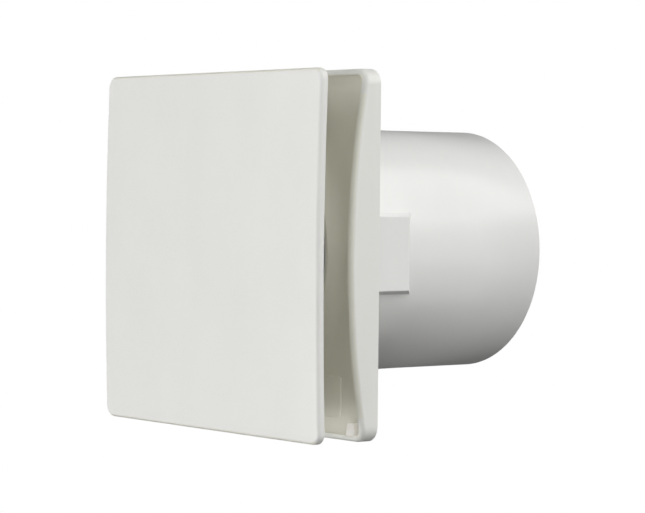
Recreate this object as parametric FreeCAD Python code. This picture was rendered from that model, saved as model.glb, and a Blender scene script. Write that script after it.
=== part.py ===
"""Wall-mounted bathroom extractor fan for a 100 mm duct, as an assembly of its separate pieces.

A square cover panel stands off a shallow bowed frame, and the air goes in round its four edges. Behind the
frame a round spigot holds an axial impeller, its motor on a four-strut carrier, and a butterfly shutter that
the air pushes open and a spring closes.

Millimetres. The origin is on the duct's axis in the plane of the wall. +Y goes into the wall, along the
air flow, -Y faces the room, +Z is up and +X is to the right as seen from the room.
"""
import FreeCAD
import Part
import math
import os

V = FreeCAD.Vector
ALONG_Y = V(0, 1, 0)
ALONG_Z = V(0, 0, 1)

# Duct spigot
DUCT_R = 49.5                 # outside radius, for a 100 mm duct
TIP_LAND_R = 49.2             # the last part of the spigot, which the duct slides over, is slightly smaller
TIP_LAND_START = 38.0
TIP_LAND_TAPER = 1.2
DUCT_WALL = 1.8
DUCT_IN_R = DUCT_R - DUCT_WALL
DUCT_END = 102.2              # depth of the spigot behind the wall face
LIP_FRONT = -8.8              # bell mouth's front edge, just behind the crest of the frame's collar
LIP_R = 49.45
FLANGE_R = 57.0
FLANGE_FRONT = -2.6
FLANGE_BACK = -0.6
CHANNEL_Z = 11.0              # half width of the wire channel inside the pad

# Raised pad on the spigot's right side, over the wire channel
PAD_X = 50.7
PAD_ROOT_X = 45.3
PAD_Z = 14.6
PAD_ROOT_Z = 16.6
PAD_END = 31.5
PAD_ROOT_END = 36.5

# Frame
FACE = 141.2                  # side of the square frame
FACE_CORNER = 6.0
FRAME_WALL = 2.5
RIM_MID = -13.6               # front rim at mid height of the two sides
RIM_END = -6.5                # front rim along the top and the bottom
RIM_ROUND = 1.9
FLOOR_FRONT = -4.6
FLOOR_BACK = -2.6
FLOOR_ROUND = 1.1             # between the floor and the walls
RAMP_Z = 62.4                 # the floor rises from here towards the top and the bottom edge
RAMP_FRONT = -6.4
THROAT_R = 49.6               # hole in the collar that the bell mouth passes through
COLLAR_R = 50.5               # the collar's crest
COLLAR_FRONT = -9.0
COLLAR_FOOT_R = 59.0          # where the collar's hollow flank runs out into the floor

# Cover panel
PANEL = 140.4
PANEL_CORNER = 6.5
PANEL_FRONT = -31.7
PANEL_BOW = 1.35              # how far the top and bottom edges lie behind the middle
PANEL_DEPTH = 5.2
PANEL_SKIN = 2.2
PANEL_EDGE_ROUND = 3.0

# Fixings on the frame
POST_X, POST_Z = 39.0, 54.0   # panel posts and their sockets
WALL_HOLE_X, WALL_HOLE_Z = 30.0, 60.0
WALL_HOLE_R = 2.25
CASING_SCREW_R = 54.45        # pitch radius of the four screws that hold the casing

# Motor and impeller, by their places along the axis
SHAFT_R = 2.0
HUB_R = 26.5
TIP_R = 46.3
BLADES = 7
HUB_FRONT, HUB_BACK = 4.0, 22.6
MOTOR_R = 26.0
MOTOR_FRONT, CAN_FRONT, CAN_BACK, MOTOR_BACK = 23.6, 25.2, 47.8, 49.4
BEARING_R = 5.5
CARRIER_BACK = 51.2
STRUTS = 4

# Butterfly shutter
SEAT_FRONT, SEAT_BACK = 53.4, 56.0
SEAT_R = 44.4
HINGE_Y = 58.2
SPINDLE_R = 1.2
KNUCKLE_R = 2.0
FLAP_R = 46.0
FLAP_THICK = 1.2
FLAP_GAP = 0.2                # between a closed flap and its seat
RUNNING = 0.05                # radial clearance of a knuckle on the spindle

# Motor's lead
LEAD_R = 0.9
LEAD_BEND = 2.0
LEAD_START_X = 20.6           # inside the motor, at the windings
LEAD_Y = 27.5
LEAD_CHANNEL_X = 48.6
LEAD_BACK = -1.2             # its run behind the frame's floor
LEAD_WAY_R = 61.0
LEAD_TURN = 72.5              # how far it runs round the flange, in degrees
LEAD_FRONT = -7.6             # its run in front of the floor

# Terminal compartment under the duct, and the pilot lamp in the lower right corner
BOX_X = 24.6
BOX_LOW = -66.6
BOX_TOP_R = 53.6
BOX_FRONT = -15.5
BOX_SKIN = 1.4
PILOT_PLATE = (43.8, 54.2, -62.2, -46.8)   # low X, high X, low Z, high Z
PILOT_X, PILOT_Z = 63.3, -65.6
PILOT_R = 1.0
PILOT_PLATE_FRONT = -5.2


# ---------------------------------------------------------------- shapes that many pieces use

def block(x0, x1, y0, y1, z0, z1):
    return Part.makeBox(x1 - x0, y1 - y0, z1 - z0, V(x0, y0, z0))


def rod(radius, y0, y1, x=0.0, z=0.0):
    """Cylinder along Y."""
    return Part.makeCylinder(radius, y1 - y0, V(x, y0, z), ALONG_Y)


def upright(radius, z0, z1, x, y):
    """Cylinder along Z."""
    return Part.makeCylinder(radius, z1 - z0, V(x, y, z0), ALONG_Z)


def tube(outer, inner, y0, y1, x=0.0, z=0.0):
    return rod(outer, y0, y1, x, z).cut(rod(inner, y0 - 1, y1 + 1, x, z))


def rounded_block(x0, x1, y0, y1, z0, z1, radius):
    """Block whose four edges along Y are rounded."""
    solid = block(x0, x1, y0, y1, z0, z1)
    corners = [e for e in solid.Edges if e.BoundBox.YLength > 0.99 * (y1 - y0)]
    return solid.makeFillet(radius, corners)


def fused(shapes):
    first, rest = shapes[0], shapes[1:]
    return first.multiFuse(rest).removeSplitter() if rest else first


def turned(points):
    """Solid of revolution about the Y axis from (radius, y) corners. A third number rounds that corner."""
    vertices = [V(p[0], p[1], 0) for p in points]
    edges = []
    joints = []
    for i, point in enumerate(points):
        here = vertices[i]
        back = (vertices[i - 1] - here).normalize()
        ahead = (vertices[(i + 1) % len(vertices)] - here).normalize()
        if len(point) < 3:
            joints.append((here, None, here))
            continue
        half = back.getAngle(ahead) / 2
        reach = point[2] / math.tan(half)
        middle = here + (back + ahead).normalize() * (point[2] / math.sin(half) - point[2])
        joints.append((here + back * reach, middle, here + ahead * reach))
    for i, (start, middle, end) in enumerate(joints):
        if middle is not None:
            edges.append(Part.Arc(start, middle, end).toShape())
        following = joints[(i + 1) % len(joints)][0]
        if (following - end).Length > 1e-6:
            edges.append(Part.LineSegment(end, following).toShape())
    face = Part.Face(Part.Wire(edges))
    return face.revolve(V(0, 0, 0), ALONG_Y, 360)


def bowed(front, half, bow):
    """Solid behind a front that follows an arc over the height, `bow` further back at +-half than at the middle."""
    radius = (half * half + bow * bow) / (2 * bow)
    return Part.makeCylinder(radius, 400, V(-200, front + radius, 0), V(1, 0, 0))


def around(shape, count, first=0.0):
    """The shape repeated about the Y axis."""
    copies = []
    for i in range(count):
        copy = shape.copy()
        copy.rotate(V(0, 0, 0), ALONG_Y, first + i * 360.0 / count)
        copies.append(copy)
    return copies


def at_four_corners(x, z):
    return [(sx * x, sz * z) for sx in (-1, 1) for sz in (-1, 1)]


def edges_inside(shape, half, y_low, y_high):
    """Edges within the square of half side `half`, between two depths."""
    found = []
    for edge in shape.Edges:
        b = edge.BoundBox
        reach = max(abs(b.XMin), abs(b.XMax), abs(b.ZMin), abs(b.ZMax))
        if reach <= half + 0.01 and b.YMin >= y_low and b.YMax <= y_high:
            found.append(edge)
    return found


def pan_screw(radius, length, head_r, head_h, x, z, y_seat, towards):
    """Cross-recess screw along Y. Its head sits on y_seat and its shank runs towards +Y (1) or -Y (-1)."""
    head = sorted((y_seat, y_seat - towards * head_h))
    shank = sorted((y_seat, y_seat + towards * length))
    recess_y = sorted((y_seat - towards * head_h, y_seat - towards * head_h * 0.4))
    body = fused([rod(head_r, *head, x, z), rod(radius, *shank, x, z)])
    arm, width = head_r * 0.6, head_r * 0.11
    flat = block(x - arm, x + arm, *recess_y, z - width, z + width)
    tall = block(x - width, x + width, *recess_y, z - arm, z + arm)
    return body.cut(flat).cut(tall)


# ---------------------------------------------------------------- cover panel

def front_panel():
    half = PANEL / 2
    rear = PANEL_FRONT + PANEL_DEPTH
    prism = rounded_block(-half, half, PANEL_FRONT - 1, rear + 5, -half, half, PANEL_CORNER)
    shell = prism.common(bowed(PANEL_FRONT, half, PANEL_BOW)).cut(bowed(rear, half, PANEL_BOW))
    front = [e for e in shell.Edges if e.BoundBox.YMax < PANEL_FRONT + PANEL_BOW + 0.1]
    shell = shell.makeFillet(PANEL_EDGE_ROUND, front)
    inner = half - PANEL_SKIN
    pocket = rounded_block(
        -inner, inner, PANEL_FRONT, rear + 5, -inner, inner, PANEL_CORNER - PANEL_SKIN
    )
    skin_back = PANEL_FRONT + PANEL_SKIN
    shell = shell.cut(pocket.common(bowed(skin_back, half, PANEL_BOW)))
    return fused([shell] + panel_ribs(skin_back, rear) + panel_posts(skin_back))


def panel_ribs(skin_back, rear):
    """A ring and four spokes that stiffen the skin from behind."""
    rib, ring_r = 1.3, 34.0
    reach = PANEL / 2 - PANEL_SKIN / 2
    ring = tube(ring_r + rib, ring_r, skin_back - 0.8, rear - 0.4)
    spoke = block(ring_r + rib / 2, reach, skin_back - 0.4, rear - 0.4, -rib / 2, rib / 2)
    limit = bowed(skin_back - 0.5, PANEL / 2, PANEL_BOW)
    return [piece.common(limit) for piece in [ring] + around(spoke, 4)]


def panel_posts(skin_back):
    """Four cross-shaped posts with a round snap tip, which push into the frame's sockets."""
    tip_end, tip_start, tip_r, rib = -6.4, -9.6, 2.45, 1.2
    posts = []
    for x, z in at_four_corners(POST_X, POST_Z):
        foot = rod(4.2, skin_back, skin_back + 2.6, x, z)
        flat = block(x - tip_r, x + tip_r, skin_back, tip_start + 0.5, z - rib / 2, z + rib / 2)
        tall = block(x - rib / 2, x + rib / 2, skin_back, tip_start + 0.5, z - tip_r, z + tip_r)
        cross = fused([flat, tall]).common(rod(tip_r, skin_back, 0, x, z))
        tip = rod(tip_r, tip_start, tip_end, x, z)
        tip = tip.makeChamfer(0.8, [e for e in tip.Edges if e.BoundBox.YMin > tip_end - 0.1])
        posts += [foot, cross, tip]
    return posts


# ---------------------------------------------------------------- frame

def front_frame():
    half = FACE / 2
    inner = half - FRAME_WALL
    prism = rounded_block(-half, half, RIM_MID - 1, 0, -half, half, FACE_CORNER)
    tray = prism.common(bowed(RIM_MID, half, RIM_END - RIM_MID))
    tray = tray.makeFillet(RIM_ROUND, [e for e in tray.Edges if e.BoundBox.YMax < RIM_END + 0.1])
    inner_corner = FACE_CORNER - FRAME_WALL
    tray = tray.cut(rounded_block(-inner, inner, RIM_MID - 2, FLOOR_FRONT, -inner, inner, inner_corner))
    tray = tray.cut(rounded_block(-inner, inner, FLOOR_BACK, 1, -inner, inner, inner_corner))
    tray = tray.makeFillet(FLOOR_ROUND, edges_inside(tray, inner, FLOOR_FRONT - 0.01, FLOOR_FRONT + 0.01))
    tray = tray.makeFillet(0.45, edges_inside(tray, inner, RIM_MID - 0.1, RIM_END + 0.6))
    tray = fused([tray, frame_collar()] + frame_ramps(inner))
    tray = tray.cut(cover_outline(-0.15, RIM_MID - 5, FLOOR_FRONT))
    tray = fused([tray] + frame_bosses() + frame_back_ribs(inner))
    return tray.cut(Part.makeCompound(frame_holes()))


def frame_ramps(inner):
    """The floor's upper and lower ends, which curve forward to the rim."""
    rise = FLOOR_FRONT - RAMP_FRONT
    reach = inner - RAMP_Z
    sweep = (reach * reach + rise * rise) / (2 * rise)
    half = inner + 0.5
    piece = block(-half, half, RAMP_FRONT, FLOOR_FRONT + 0.3, RAMP_Z, inner + 0.5)
    hollow = Part.makeCylinder(sweep, 2 * half + 2, V(-half - 1, FLOOR_FRONT - sweep, RAMP_Z), V(1, 0, 0))
    upper = piece.cut(hollow)
    return [upper, upper.mirror(V(0, 0, 0), ALONG_Z)]


def frame_collar():
    """Ring that rises out of the floor in one hollow sweep, up to a crest round the bell mouth."""
    height = FLOOR_FRONT - COLLAR_FRONT
    reach = COLLAR_FOOT_R - COLLAR_R
    sweep = (reach * reach + height * height) / (2 * height)
    crest, foot = V(COLLAR_R, COLLAR_FRONT, 0), V(COLLAR_FOOT_R, FLOOR_FRONT, 0)
    half = math.asin(reach / sweep) / 2
    middle = V(COLLAR_FOOT_R - sweep * math.sin(half), FLOOR_FRONT - sweep * (1 - math.cos(half)), 0)
    under = [V(COLLAR_FOOT_R, FLOOR_BACK, 0), V(THROAT_R - 0.5, FLOOR_BACK, 0)]
    top = V(THROAT_R - 0.5, COLLAR_FRONT, 0)
    flank = Part.Arc(crest, middle, foot).toShape()
    rest = Part.makePolygon([foot] + under + [top, crest])
    return Part.Face(Part.Wire([flank] + rest.Edges)).revolve(V(0, 0, 0), ALONG_Y, 360)


def frame_bosses():
    """Panel sockets, wall-screw pads, blind bosses for the casing screws, and the terminal parts' pillars."""
    bosses = []
    for x, z in at_four_corners(POST_X, POST_Z):
        bosses.append(rod(3.9, -13.0, FLOOR_FRONT + 0.5, x, z))
    for x, z in at_four_corners(WALL_HOLE_X, WALL_HOLE_Z):
        bosses.append(rod(4.8, FLOOR_BACK - 0.5, 0, x, z))
        bosses.append(rod(5.2, FLOOR_FRONT - 0.8, FLOOR_FRONT + 0.5, x, z))
    spread = CASING_SCREW_R * math.sqrt(0.5)
    for x, z in at_four_corners(spread, spread):
        bosses.append(rod(3.4, -11.0, FLOOR_FRONT + 0.5, x, z))
    bosses.append(rod(2.4, -12.0, FLOOR_FRONT + 0.5, *COVER_SCREW))
    for x, z in CLAMP_SCREWS:
        bosses.append(rod(1.9, -8.0, FLOOR_FRONT + 0.5, x, z))
    return bosses


def frame_back_ribs(inner):
    """Stiffening ribs behind the floor, with a way left open round the flange for the leads."""
    rib, rib_back = 1.4, -0.3
    ring = tube(59.3, 58.0, FLOOR_BACK - 0.3, rib_back)
    spoke = block(58.5, 100, FLOOR_BACK - 0.3, rib_back, -rib / 2, rib / 2)
    spokes = around(spoke, 4, 45) + around(spoke, 4, 22.5) + around(spoke, 4, 67.5)
    limit = block(-inner - 0.5, inner + 0.5, FLOOR_BACK - 0.3, rib_back, -inner - 0.5, inner + 0.5)
    clear = fused([
        tube(62.6, 59.4, FLOOR_BACK, 0),
        rod(5.8, FLOOR_BACK, 0, *GROMMET),
        rod(2.4, FLOOR_BACK, 0, PILOT_X, PILOT_Z),
    ])
    return [rib_part.common(limit).cut(clear) for rib_part in [ring] + spokes]


def frame_holes():
    far = 1.0
    holes = [rod(THROAT_R, -40, far)]
    for x, z in at_four_corners(POST_X, POST_Z):
        holes.append(rod(2.65, -14, FLOOR_FRONT - 0.6, x, z))
        holes.append(block(x - 4.5, x + 4.5, -14, -8.5, z - 0.5, z + 0.5))
    for x, z in at_four_corners(WALL_HOLE_X, WALL_HOLE_Z):
        holes.append(rod(WALL_HOLE_R, -8, far, x, z))
    spread = CASING_SCREW_R * math.sqrt(0.5)
    for x, z in at_four_corners(spread, spread):
        holes.append(rod(1.25, -9.6, far, x, z))
    holes.append(rod(GROMMET_NECK_R, -8, far, *GROMMET))
    holes.append(rod(1.25, -13, -6.0, *COVER_SCREW))
    holes += [rod(1.0, -9, -5.2, x, z) for x, z in CLAMP_SCREWS]
    low_x, high_x, low_z, high_z = PILOT_PLATE
    holes.append(block(low_x + 2.2, high_x - 2.2, FLOOR_FRONT - 1, far, low_z + 2.4, high_z - 2.4))
    holes.append(rod(PILOT_R + 0.1, -8, far, PILOT_X, PILOT_Z))
    bottom = -FACE / 2 + FRAME_WALL
    holes.append(block(PILOT_X - 2.45, PILOT_X + 2.45, -7.8, FLOOR_FRONT, bottom, bottom + 4.9))
    holes.append(rod(LEAD_R + 0.6, -8, far, *lead_hole()))
    holes.append(block(57, 60, FLOOR_BACK, 1, -LEAD_R - 0.6, LEAD_R + 0.6))
    return holes


# ---------------------------------------------------------------- duct casing

def duct_casing():
    body = turned([
        (DUCT_IN_R, DUCT_END),
        (TIP_LAND_R - 0.7, DUCT_END),
        (TIP_LAND_R, DUCT_END - 0.9),
        (TIP_LAND_R, TIP_LAND_START),
        (DUCT_R, TIP_LAND_START - TIP_LAND_TAPER),
        (DUCT_R, FLANGE_BACK),
        (FLANGE_R, FLANGE_BACK),
        (FLANGE_R, FLANGE_FRONT),
        (LIP_R, FLANGE_FRONT),
        (LIP_R, LIP_FRONT),
        (LIP_R - 1.3, LIP_FRONT, 0.5),
        (DUCT_IN_R, 2.0),
    ])
    body = body.fuse(wire_pad()).removeSplitter()
    cuts = [wire_channel()]
    spread = CASING_SCREW_R * math.sqrt(0.5)
    for x, z in at_four_corners(spread, spread):
        cuts.append(Part.makeCone(1.6, 3.0, 1.4, V(x, FLANGE_BACK - 1.4, z), ALONG_Y))
        cuts.append(rod(1.6, FLANGE_FRONT - 1, FLANGE_BACK, x, z))
    return body.cut(Part.makeCompound(cuts))


def wire_pad():
    """Flat-topped pad with sloping sides and a ramped end, on the spigot's right side."""
    root = Part.makePolygon([
        V(PAD_ROOT_X, FLANGE_BACK, -PAD_ROOT_Z),
        V(PAD_ROOT_X, PAD_ROOT_END, -PAD_ROOT_Z),
        V(PAD_ROOT_X, PAD_ROOT_END, PAD_ROOT_Z),
        V(PAD_ROOT_X, FLANGE_BACK, PAD_ROOT_Z),
        V(PAD_ROOT_X, FLANGE_BACK, -PAD_ROOT_Z),
    ])
    crown = Part.makePolygon([
        V(PAD_X, FLANGE_BACK, -PAD_Z),
        V(PAD_X, PAD_END, -PAD_Z),
        V(PAD_X, PAD_END, PAD_Z),
        V(PAD_X, FLANGE_BACK, PAD_Z),
        V(PAD_X, FLANGE_BACK, -PAD_Z),
    ])
    pad = Part.makeLoft([root, crown], True, True)
    crest = [e for e in pad.Edges if e.BoundBox.XMin > PAD_X - 0.01 and e.BoundBox.YMax > 0]
    pad = pad.makeFillet(0.4, crest)
    return pad.cut(rod(DUCT_R - 0.5, -5, 60))


def wire_channel():
    """Recess inside the pad for the motor's lead, with its way out through the flange's rear face."""
    skin = 1.1
    recess = block(40, PAD_X - skin, 0.6, PAD_END - 1.5, -CHANNEL_Z, CHANNEL_Z)
    recess = recess.cut(rod(DUCT_IN_R - 0.2, -5, 60))
    slot = block(DUCT_IN_R - 2, FLANGE_R + 1, FLANGE_FRONT + 0.3, 1.6, -1.6, 1.6)
    return fused([recess, slot])


def casing_screws():
    """Countersunk screws, driven from behind through the flange into the frame."""
    spread = CASING_SCREW_R * math.sqrt(0.5)
    screws = []
    for x, z in at_four_corners(spread, spread):
        head = Part.makeCone(1.5, 2.9, 1.4, V(x, FLANGE_BACK - 1.4, z), ALONG_Y)
        shank = rod(1.2, -9.0, FLANGE_BACK - 1.4, x, z)
        slots = fused([
            block(x - 1.7, x + 1.7, FLANGE_BACK - 0.8, 0, z - 0.3, z + 0.3),
            block(x - 0.3, x + 0.3, FLANGE_BACK - 0.8, 0, z - 1.7, z + 1.7),
        ])
        screws.append(fused([head, shank]).cut(slots))
    return Part.makeCompound(screws)


# ---------------------------------------------------------------- impeller and motor

def blade_section(radius):
    """Cambered section of a blade at a radius, as a closed wire in the plane Z = radius."""
    share = (radius - HUB_R) / (TIP_R - HUB_R)
    chord = 25.0 + 6.0 * share
    stagger = math.radians(42.0 - 17.0 * share)
    camber = 0.085 - 0.03 * share
    thick = 2.3 - 0.8 * share
    mid_y = (HUB_FRONT + HUB_BACK) / 2
    sweep = 2.5 * share
    steps = 7
    upper, lower = [], []
    for i in range(steps + 1):
        u = 0.5 - 0.5 * math.cos(math.pi * i / steps)
        line = 4 * camber * chord * u * (1 - u)
        half = thick * (0.16 + 1.25 * math.sqrt(u) * (1 - u)) * 0.5
        upper.append((u * chord, line + half))
        lower.append((u * chord, line - half))
    sides = []
    for outline in (upper, lower[::-1]):
        points = []
        for along, off in outline:
            a = along - chord / 2
            x = a * math.cos(stagger) - off * math.sin(stagger) + sweep
            y = mid_y + a * math.sin(stagger) + off * math.cos(stagger)
            points.append(V(x, y, radius))
        side = Part.BSplineCurve()
        side.interpolate(points)
        sides.append((side.toShape(), points[0], points[-1]))
    (top, top_start, top_end), (under, under_start, under_end) = sides
    trailing = Part.LineSegment(top_end, under_start).toShape()
    leading = Part.LineSegment(under_end, top_start).toShape()
    return Part.Wire([top, trailing, under, leading])


def impeller():
    shell = turned([
        (0, -4.2),
        (HUB_R * 0.6, -3.0, 14.0),
        (HUB_R, HUB_FRONT, 7.0),
        (HUB_R, HUB_BACK),
        (HUB_R - 1.6, HUB_BACK),
        (HUB_R - 1.6, HUB_FRONT + 1.0, 5.0),
        (HUB_R * 0.58, -1.0, 12.0),
        (5.2, -2.0),
        (5.2, 18.5),
        (0, 18.5),
    ])
    stations = [21.0, 30.0, 39.0, 49.0]
    blade = Part.makeLoft([blade_section(r) for r in stations], True, False)
    blade = blade.common(tube(TIP_R, HUB_R - 0.9, -10, 40))
    rib = block(4.8, HUB_R - 1.0, 3.5, 15.0, -0.6, 0.6)
    hub = fused([shell] + around(rib, 6))
    wheel = hub.multiFuse(around(blade, BLADES))
    return wheel.cut(rod(SHAFT_R, 3.5, 30))


def motor_shaft():
    shaft = rod(SHAFT_R, 3.5, 52.3)
    return shaft.makeChamfer(0.4, [e for e in shaft.Edges if e.Length > 10 and e.BoundBox.YLength < 0.1])


def motor_cap(plate_y, boss_y, holes=False):
    """End cap with a boss that holds a ball bearing. plate_y and boss_y are (low, high) depths."""
    cap = fused([rod(MOTOR_R, *plate_y), rod(7.2, *boss_y)])
    cap = cap.cut(rod(SHAFT_R + 1.0, min(plate_y[0], boss_y[0]) - 1, max(plate_y[1], boss_y[1]) + 1))
    vent = rounded_block(10.5, 20.0, plate_y[0] - 1, plate_y[1] + 1, -2.2, 2.2, 2.0)
    cap = cap.cut(Part.makeCompound(around(vent, 6, 30)))
    if holes:
        cap = cap.cut(Part.makeCompound(around(rod(1.4, plate_y[0] - 1, plate_y[1] + 1, 18.0), 3, -90)))
    return cap


def motor_can():
    can = tube(MOTOR_R, MOTOR_R - 0.8, CAN_FRONT, CAN_BACK)
    return can.cut(Part.makeCylinder(LEAD_R + 0.3, 10, V(20, LEAD_Y, 0), V(1, 0, 0)))


def motor_front_cap():
    cap = motor_cap((MOTOR_FRONT, CAN_FRONT), (19.4, MOTOR_FRONT))
    return cap.cut(rod(BEARING_R, 20.2, 24.2))


def motor_rear_cap():
    cap = motor_cap((CAN_BACK, MOTOR_BACK), (MOTOR_BACK, 52.9), holes=True)
    return cap.cut(rod(BEARING_R, 48.2, 52.2))


def ball_bearing(y0, y1):
    """Outer race, shield and inner race as one piece, running on the shaft."""
    ring = tube(BEARING_R, SHAFT_R + 0.03, y0, y1)
    groove_f = tube(4.4, 3.2, y0 - 1, y0 + 0.3)
    groove_b = tube(4.4, 3.2, y1 - 0.3, y1 + 1)
    return ring.cut(groove_f).cut(groove_b)


def lamination_stack():
    """Steel stator stack with four winding slots round its bore."""
    stack = tube(MOTOR_R - 0.8, 12.2, 29.0, 44.0)
    slot = rounded_block(13.5, 20.5, 28.0, 45.0, -4.0, 4.0, 1.5)
    return stack.cut(Part.makeCompound(around(slot, 4, 45)))


def windings():
    """Coils through the four slots, joined by their end turns in front of and behind the stack."""
    coil = rounded_block(13.9, 20.1, 28.5, 44.5, -3.6, 3.6, 1.3)
    end_f = tube(20.1, 13.9, 26.4, 28.9)
    end_b = tube(20.1, 13.9, 44.1, 46.4)
    return fused([end_f, end_b] + around(coil, 4, 45))


def rotor():
    """Squirrel-cage rotor with its two end rings."""
    core = tube(11.6, SHAFT_R, 28.6, 44.4)
    ring_f = tube(10.8, 6.0, 27.2, 28.6)
    ring_b = tube(10.8, 6.0, 44.4, 45.8)
    return fused([core, ring_f, ring_b])


def motor_carrier():
    """Ring pressed into the spigot, with struts that carry the motor's cup."""
    ring = tube(DUCT_IN_R, DUCT_IN_R - 1.7, 33.0, 47.0)
    cup = tube(28.2, MOTOR_R + 0.05, 34.0, CARRIER_BACK)
    plate = tube(28.2, 8.4, MOTOR_BACK, CARRIER_BACK)
    strut = strut_blade()
    body = fused([ring, cup, plate] + around(strut, STRUTS))
    vent = rounded_block(12.0, 15.5, 48.0, 53.0, -5.0, 5.0, 1.6)
    holes = around(rod(1.6, 48, 53, 18.0), 3, -90) + around(vent, 3, -30)
    return body.cut(Part.makeCompound(holes))


def strut_blade():
    """One strut, a streamlined section that reaches from the cup to the ring."""
    y0, y1, thick = 34.5, 46.5, 2.6
    length = y1 - y0
    nose = V(0, y0, 0)
    tail = V(0, y1, 0)
    widest_left = V(0, y0 + 0.35 * length, -thick / 2)
    widest_right = V(0, y0 + 0.35 * length, thick / 2)
    wire = Part.Wire([
        Part.Arc(tail, widest_left, nose).toShape(),
        Part.Arc(nose, widest_right, tail).toShape(),
    ])
    wire.translate(V(27.0, 0, 0))
    strut = Part.Face(wire).extrude(V(DUCT_IN_R - 27.0 - 0.6, 0, 0))
    return strut.cut(rod(MOTOR_R + 0.5, 30, 50))


def motor_screws():
    screws = []
    for i in range(3):
        angle = math.radians(90 + i * 120)
        x, z = 18.0 * math.cos(angle), 18.0 * math.sin(angle)
        screws.append(pan_screw(1.35, 3.9, 2.8, 1.7, x, z, CARRIER_BACK, -1))
    return Part.makeCompound(screws)


# ---------------------------------------------------------------- back-draught shutter

def shutter_seat():
    """Seat ring with a centre post, and an ear at each end of the post for the spindle."""
    ring = tube(DUCT_IN_R, SEAT_R, SEAT_FRONT, SEAT_BACK)
    post = block(-2.6, 2.6, SEAT_FRONT, SEAT_BACK, -SEAT_R - 0.6, SEAT_R + 0.6)
    ears = []
    for low in (SEAT_R + 0.3, -SEAT_R - 3.0):
        ear = block(-2.6, 2.6, SEAT_BACK - 0.5, HINGE_Y, low, low + 2.7)
        cap = upright(2.6, low, low + 2.7, 0, HINGE_Y)
        ears.append(fused([ear, cap]).common(rod(DUCT_IN_R - 0.1, 50, 65)))
    return fused([ring, post] + ears).cut(upright(SPINDLE_R, -50, 50, 0, HINGE_Y))


def shutter_spindle():
    return upright(SPINDLE_R, -SEAT_R - 2.6, SEAT_R + 2.6, 0, HINGE_Y)


def shutter_flap(side):
    """Half-round flap with three knuckles on the spindle. side is 1 on the right and -1 on the left."""
    front = SEAT_BACK + FLAP_GAP
    back = front + FLAP_THICK
    disc = rod(FLAP_R, front, back)
    plate = disc.common(block(0.9, 60, front - 1, back + 1, -60, 60))
    for low in (44.2, -60):
        plate = plate.cut(block(0, 5.0, front - 1, back + 1, low, low + 15.8))
    own = [(8.0, 18.0), (-30.0, -20.0), (33.0, 43.0)]
    knuckles = [upright(KNUCKLE_R, a, b, 0, HINGE_Y) for a, b in own]
    clear_x, slack = KNUCKLE_R + 0.6, 0.4
    for a, b in own:
        plate = plate.cut(block(0, clear_x, front - 1, back + 1, -b - slack, -a + slack))
    plate = plate.cut(block(0, clear_x, front - 1, back + 1, -7.6, 7.6))
    ribs = [block(3.0, 40.0, back - 0.2, back + 0.9, z - 0.5, z + 0.5) for z in (-14.0, 15.0)]
    rim = tube(FLAP_R, FLAP_R - 1.0, back - 0.2, back + 0.9)
    rim = rim.common(block(7.0, 60, front, back + 2, -60, 60))
    flap = fused([plate, rim] + knuckles + ribs)
    flap = flap.cut(upright(SPINDLE_R + RUNNING, -60, 60, 0, HINGE_Y))
    if side < 0:
        flap = flap.mirror(V(0, 0, 0), V(1, 0, 0))
        flap = flap.mirror(V(0, 0, 0), V(0, 0, 1))
    return flap


def spring_coil():
    """Closing spring's coil on the spindle, as the sleeve that it fills."""
    return upright(2.1, -6.2, 6.2, 0, HINGE_Y).cut(upright(SPINDLE_R + 0.3, -7, 7, 0, HINGE_Y))


def spring_leg(side):
    """The spring's leg, from its coil to the back of a flap."""
    wire_r = 0.3
    z = side * 6.6
    start = V(side * 0.2, HINGE_Y + 1.8, z)
    touch = V(side * 13.0, SEAT_BACK + FLAP_GAP + FLAP_THICK + wire_r, z)
    run = touch - start
    leg = Part.makeCylinder(wire_r, run.Length, start, run)
    return leg


# ---------------------------------------------------------------- terminals and pilot lamp

GROMMET = (-17.5, -60.2)
GROMMET_NECK_R = 4.3
COVER_SCREW = (20.6, -60.0)
CLAMP_SCREWS = [(-8.0, -62.9), (-8.0, -56.4)]
BLOCK_LOW_X, BLOCK_HIGH_X = -3.5, 14.5
BLOCK_LOW_Z, BLOCK_HIGH_Z = -65.0, -56.6
BLOCK_FRONT = -13.6
POLES = 3
POLE_PITCH = 5.6


def cover_outline(inset, y0, y1):
    """The compartment's outline, straight at the sides and below and following the duct above."""
    side = BOX_X - inset
    low = BOX_LOW + inset
    solid = block(-side, side, y0, y1, low, -40)
    return solid.cut(rod(BOX_TOP_R + inset, y0 - 1, y1 + 1))


def terminal_cover():
    shell = cover_outline(0, BOX_FRONT, FLOOR_FRONT)
    front = [e for e in shell.Edges if e.BoundBox.YMax < BOX_FRONT + 0.1]
    shell = shell.makeFillet(1.2, front)
    shell = shell.cut(cover_outline(BOX_SKIN, BOX_FRONT + BOX_SKIN, FLOOR_FRONT + 1))
    pillar = tube(2.4, 1.5, BOX_FRONT + 0.5, -12.0, *COVER_SCREW)
    well = rod(1.6, BOX_FRONT - 1, BOX_FRONT + 3, *COVER_SCREW)
    return fused([shell, pillar]).cut(well)


def terminal_cover_screw():
    return pan_screw(1.2, 8.0, 2.3, 1.5, *COVER_SCREW, BOX_FRONT, 1)


def pole_places():
    middle = (BLOCK_LOW_X + BLOCK_HIGH_X) / 2
    return [middle + (i - (POLES - 1) / 2) * POLE_PITCH for i in range(POLES)]


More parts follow.
